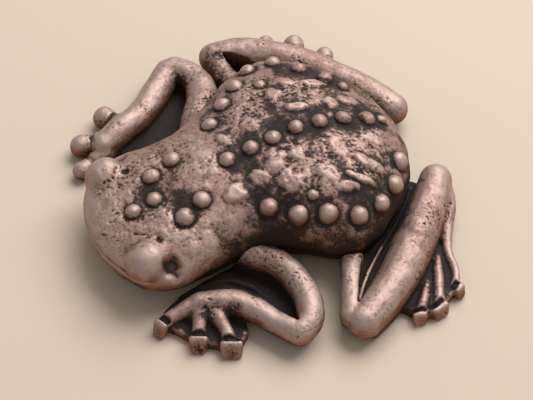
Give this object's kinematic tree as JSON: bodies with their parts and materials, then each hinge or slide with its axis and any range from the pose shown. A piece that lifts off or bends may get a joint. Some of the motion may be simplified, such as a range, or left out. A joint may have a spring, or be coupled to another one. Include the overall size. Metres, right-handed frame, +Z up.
{
  "type": "toad brooch",
  "caption": "Cast metal toad with rows of round warts and curled legs, hollow behind, with a hinged pin and a roll-over catch on its back plate.",
  "frame": {"origin": "on the rest plane, in the middle of the toad's outline", "axes": "+Z up, out of the wearer; the head points to -Y and the toad's left side is +X"},
  "size_m": [0.0446, 0.0401, 0.0118],
  "materials": {
    "oxidised_cast_metal": "cast white metal, darkened in its recesses and polished bright on its high points, finely pitted",
    "rolled_back_plate": "rolled sheet with fine straight brush marks, dull and slightly tarnished",
    "bright_finding": "bright satin",
    "pin_wire": "drawn and polished steel wire"
  },
  "bodies": {
    "toad": {"body_shell": "oxidised_cast_metal", "front_leg_left": "oxidised_cast_metal", "front_leg_right": "oxidised_cast_metal", "rear_leg_left": "oxidised_cast_metal", "rear_leg_right": "oxidised_cast_metal", "back_plate": "rolled_back_plate", "hinge_bracket": "bright_finding", "hinge_rivet": "bright_finding", "catch_housing": "bright_finding"},
    "pin": {"pin_stem": "pin_wire"},
    "catch": {"catch_sleeve": "bright_finding"}
  },
  "joints": [
    {"name": "pin_hinge", "type": "hinge", "parent": "toad", "child": "pin", "pos_m": [-0.00945, 0.0006, 0.002], "axis": [0, 1, 0], "range_deg": [0, 110]},
    {"name": "catch_turn", "type": "hinge", "parent": "toad", "child": "catch", "pos_m": [0.00475, 0.0006, 0.002], "axis": [-1, 0, 0], "range_deg": [0, 150]}
  ]
}
